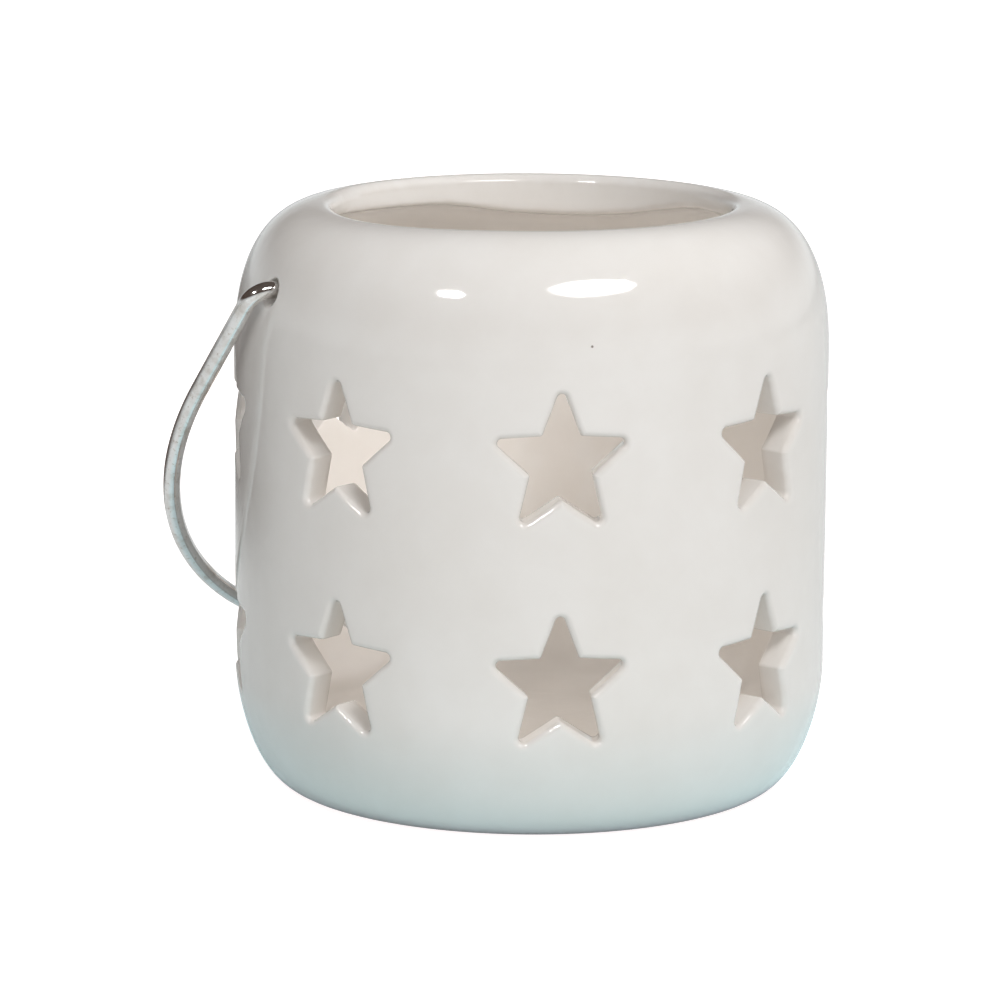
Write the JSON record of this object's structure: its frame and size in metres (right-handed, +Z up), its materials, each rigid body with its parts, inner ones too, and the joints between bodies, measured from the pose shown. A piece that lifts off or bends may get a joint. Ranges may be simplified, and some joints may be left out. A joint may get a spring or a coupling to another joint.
{
  "type": "tealight holder",
  "caption": "Cylindrical glazed ceramic lantern pot pierced with rows of stars, with rounded shoulder, open mouth and a swinging wire bail; holds a tealight, stands or hangs.",
  "frame": {"origin": "centre of the foot ring, on the plane that the pot stands on", "axes": "+Z up along the pot's own axis, +X along the bail's hinge axis, +Y towards the side where the bail hangs"},
  "size_m": [0.117, 0.1053, 0.1005],
  "materials": {
    "glaze": "gloss",
    "plated_wire": "bright plated steel"
  },
  "bodies": {
    "pot": {"ceramic_pot": "glaze"},
    "bail": {"wire_bail": "plated_wire"}
  },
  "joints": [
    {"name": "bail_swing", "type": "hinge", "parent": "pot", "child": "bail", "pos_m": [0, 0, 0.0885], "axis": [1, 0, 0], "range_deg": [0, 287.2]}
  ]
}
